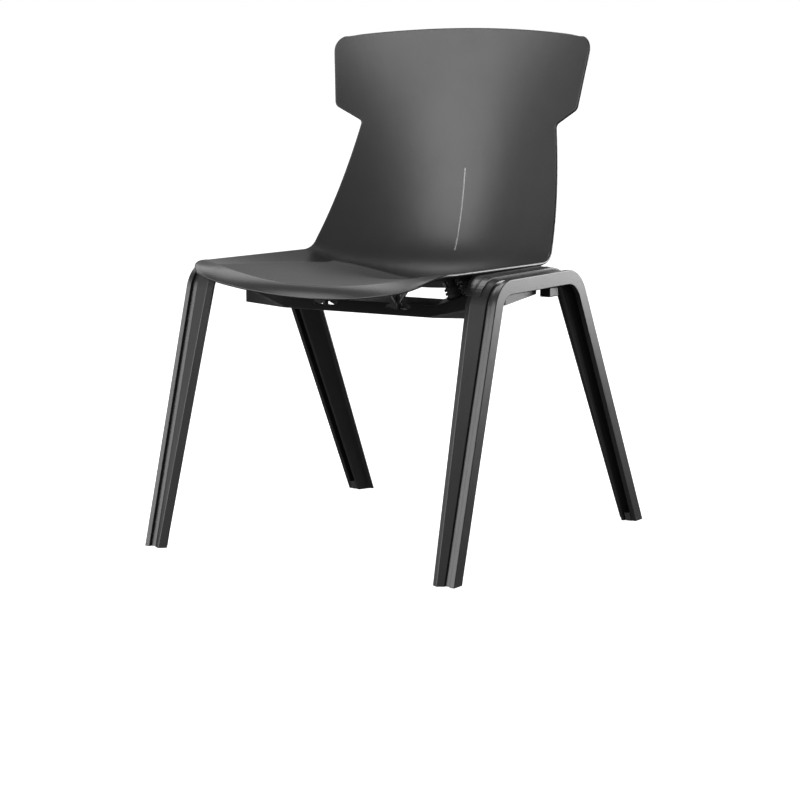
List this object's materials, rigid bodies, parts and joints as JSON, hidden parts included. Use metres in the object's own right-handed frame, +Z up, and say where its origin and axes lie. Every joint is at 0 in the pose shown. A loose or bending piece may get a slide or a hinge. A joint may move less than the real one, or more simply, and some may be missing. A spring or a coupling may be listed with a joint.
{
  "type": "stacking chair",
  "caption": "Armless stacking chair: one-piece moulded seat and back with a slot in the back, on two arched plastic side frames joined by a cross member.",
  "frame": {"origin": "on the floor under the middle of the chair's bounding box", "axes": "+X to the sitter's left, +Y to the rear, +Z up; the sitter faces -Y"},
  "size_m": [0.575, 0.6268, 0.818],
  "materials": {
    "shell_plastic": "fine satin texture",
    "frame_plastic": "fine satin texture",
    "carrier_plastic": "satin",
    "rubber": "matt",
    "screw_steel": "zinc plated",
    "glide_plastic": "matt"
  },
  "bodies": {
    "root": {"buffer_front_left": "rubber", "buffer_front_right": "rubber", "buffer_rear_left": "rubber", "buffer_rear_right": "rubber", "frame_screws": "screw_steel", "glide_front_left": "glide_plastic", "glide_front_right": "glide_plastic", "glide_rear_left": "glide_plastic", "glide_rear_right": "glide_plastic", "post_front_left": "carrier_plastic", "post_front_right": "carrier_plastic", "post_rear_left": "carrier_plastic", "post_rear_right": "carrier_plastic", "seat_carrier": "carrier_plastic", "seat_shell": "shell_plastic", "shell_screws": "screw_steel", "side_frame_left": "frame_plastic", "side_frame_right": "frame_plastic", "stacking_lug_left": "rubber", "stacking_lug_right": "rubber"}
  },
  "joints": []
}
